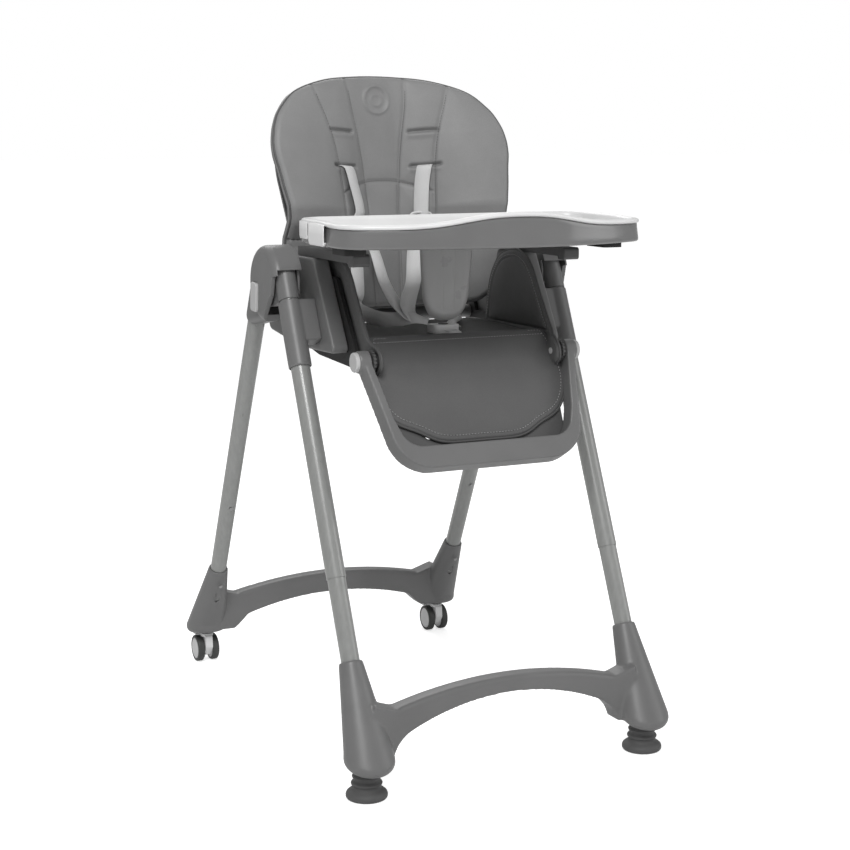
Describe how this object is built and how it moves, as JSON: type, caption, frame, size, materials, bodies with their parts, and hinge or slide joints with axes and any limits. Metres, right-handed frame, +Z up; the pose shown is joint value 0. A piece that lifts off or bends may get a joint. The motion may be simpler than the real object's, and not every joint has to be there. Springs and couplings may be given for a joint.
{
  "type": "baby high chair",
  "caption": "Folding baby high chair with a padded reclining back, a sliding tray with a lift-off top, a leg rest and rear casters.",
  "frame": {"origin": "on the floor, under the centre of the chair's outline", "axes": "+Z up, -Y the way the child faces, +X the chair's side on the right when it is seen from the front"},
  "size_m": [0.549, 0.8296, 1.0522],
  "materials": {
    "frame_tube": "satin powder coat, light grey",
    "plastic": "moulded grey plastic, fine satin grain",
    "tray_plastic": "glossy moulded grey plastic",
    "light_plastic": "light grey moulded plastic",
    "dark_plastic": "dark moulded plastic",
    "back_cover": "mid grey leatherette, fine grain",
    "seat_cover": "darker grey leatherette, fine grain",
    "webbing": "light grey woven webbing",
    "rubber": "soft grey rubber",
    "tyre": "dark rubber tread",
    "steel": "plated steel"
  },
  "bodies": {
    "front_frame": {"front_base": "plastic", "front_feet": "rubber", "front_leg_lower_left": "frame_tube", "front_leg_lower_right": "frame_tube", "front_leg_upper_left": "frame_tube", "front_leg_upper_right": "frame_tube", "front_collar_left": "plastic", "front_collar_right": "plastic", "fold_pins": "steel", "collar_screws": "steel"},
    "rear_frame": {"rear_base": "plastic", "rear_leg_left": "frame_tube", "rear_leg_right": "frame_tube", "rear_screws": "steel", "shoulder_hood_left": "plastic", "shoulder_hood_right": "plastic", "caster_stems": "steel"},
    "fold_button_left": {"fold_button_left": "light_plastic"},
    "fold_button_right": {"fold_button_right": "light_plastic"},
    "seat_carriage": {"height_sleeve_left": "plastic", "height_sleeve_right": "plastic", "side_panel_left": "plastic", "side_panel_right": "plastic", "armrests": "plastic", "seat_pan": "plastic", "footrest_ratchets": "dark_plastic", "seat_pad": "seat_cover", "seat_wing_left": "seat_cover", "seat_wing_right": "seat_cover", "recline_pin": "steel", "waist_straps": "webbing", "crotch_strap": "webbing", "buckle": "light_plastic"},
    "height_latch_left": {"height_latch_left": "light_plastic"},
    "height_latch_right": {"height_latch_right": "light_plastic"},
    "footrest": {"footrest_frame": "plastic", "footrest_caps": "light_plastic", "footrest_plate": "plastic", "leg_flap": "seat_cover"},
    "backrest": {"backrest_pad": "back_cover", "backrest_shell": "plastic", "shoulder_straps": "webbing", "strap_slider": "light_plastic"},
    "recline_handle": {"recline_handle": "light_plastic"},
    "tray": {"tray": "tray_plastic", "crotch_guard": "tray_plastic"},
    "insert_tray": {"insert_tray": "light_plastic"},
    "tray_latch_left": {"tray_latch_left": "dark_plastic"},
    "tray_latch_right": {"tray_latch_right": "dark_plastic"},
    "buckle_button": {"buckle_button": "dark_plastic"},
    "caster_left": {"caster_fork_left": "light_plastic", "caster_axle_left": "steel"},
    "caster_wheels_left": {"caster_hubs_left": "light_plastic", "caster_tyres_left": "tyre"},
    "caster_brake_left": {"caster_brake_left": "light_plastic"},
    "caster_right": {"caster_fork_right": "light_plastic", "caster_axle_right": "steel"},
    "caster_wheels_right": {"caster_hubs_right": "light_plastic", "caster_tyres_right": "tyre"},
    "caster_brake_right": {"caster_brake_right": "light_plastic"}
  },
  "joints": [
    {"name": "fold", "type": "hinge", "parent": "front_frame", "child": "rear_frame", "pos_m": [0, -0.023, 0.727], "axis": [-1, 0, 0], "range_deg": [0, 45]},
    {"name": "seat_height", "type": "slide", "parent": "front_frame", "child": "seat_carriage", "axis": [0, -0.4115, -0.9114], "range_m": [0, 0.2]},
    {"name": "footrest_angle", "type": "hinge", "parent": "seat_carriage", "child": "footrest", "pos_m": [0, -0.222, 0.622], "axis": [-1, 0, 0], "range_deg": [0, 55]},
    {"name": "recline", "type": "hinge", "parent": "seat_carriage", "child": "backrest", "pos_m": [0, 0.096, 0.655], "axis": [-1, 0, 0], "range_deg": [0, 30]},
    {"name": "recline_handle_pull", "type": "slide", "parent": "backrest", "child": "recline_handle", "axis": [0, 0.1564, 0.9877], "range_m": [0, 0.01], "stiffness_N_per_m": 600, "springref_m": -0.004},
    {"name": "tray_slide", "type": "slide", "parent": "seat_carriage", "child": "tray", "axis": [0, -1, 0], "range_m": [-0.03, 0.06]},
    {"name": "insert_tray_lift", "type": "slide", "parent": "tray", "child": "insert_tray", "axis": [0, 0, 1], "range_m": [0, 0.06]},
    {"name": "buckle_button_press", "type": "slide", "parent": "seat_carriage", "child": "buckle_button", "axis": [0, 0, -1], "range_m": [0, 0.002], "stiffness_N_per_m": 800, "springref_m": -0.002},
    {"name": "fold_button_left_press", "type": "slide", "parent": "rear_frame", "child": "fold_button_left", "axis": [1, 0, 0], "range_m": [0, 0.003], "stiffness_N_per_m": 1500, "springref_m": -0.002},
    {"name": "height_latch_left_press", "type": "slide", "parent": "seat_carriage", "child": "height_latch_left", "axis": [0, -0.9114, 0.4115], "range_m": [0, 0.0015], "stiffness_N_per_m": 1500, "springref_m": -0.002},
    {"name": "tray_latch_left_press", "type": "slide", "parent": "tray", "child": "tray_latch_left", "axis": [1, 0, 0], "range_m": [0, 0.003], "stiffness_N_per_m": 1000, "springref_m": -0.002},
    {"name": "caster_left_swivel", "type": "hinge", "parent": "rear_frame", "child": "caster_left", "pos_m": [-0.234, 0.37, 0.05], "axis": [0, 0, 1], "continuous": true},
    {"name": "caster_left_roll", "type": "hinge", "parent": "caster_left", "child": "caster_wheels_left", "pos_m": [-0.234, 0.38, 0.024], "axis": [1, 0, 0], "continuous": true},
    {"name": "caster_brake_left_press", "type": "hinge", "parent": "caster_left", "child": "caster_brake_left", "pos_m": [-0.234, 0.394, 0.045], "axis": [-1, 0, 0], "range_deg": [0, 12]},
    {"name": "fold_button_right_press", "type": "slide", "parent": "rear_frame", "child": "fold_button_right", "axis": [-1, 0, 0], "range_m": [0, 0.003], "stiffness_N_per_m": 1500, "springref_m": -0.002},
    {"name": "height_latch_right_press", "type": "slide", "parent": "seat_carriage", "child": "height_latch_right", "axis": [0, -0.9114, 0.4115], "range_m": [0, 0.0015], "stiffness_N_per_m": 1500, "springref_m": -0.002},
    {"name": "tray_latch_right_press", "type": "slide", "parent": "tray", "child": "tray_latch_right", "axis": [-1, 0, 0], "range_m": [0, 0.003], "stiffness_N_per_m": 1000, "springref_m": -0.002},
    {"name": "caster_right_swivel", "type": "hinge", "parent": "rear_frame", "child": "caster_right", "pos_m": [0.234, 0.37, 0.05], "axis": [0, 0, 1], "continuous": true},
    {"name": "caster_right_roll", "type": "hinge", "parent": "caster_right", "child": "caster_wheels_right", "pos_m": [0.234, 0.38, 0.024], "axis": [1, 0, 0], "continuous": true},
    {"name": "caster_brake_right_press", "type": "hinge", "parent": "caster_right", "child": "caster_brake_right", "pos_m": [0.234, 0.394, 0.045], "axis": [-1, 0, 0], "range_deg": [0, 12]}
  ]
}
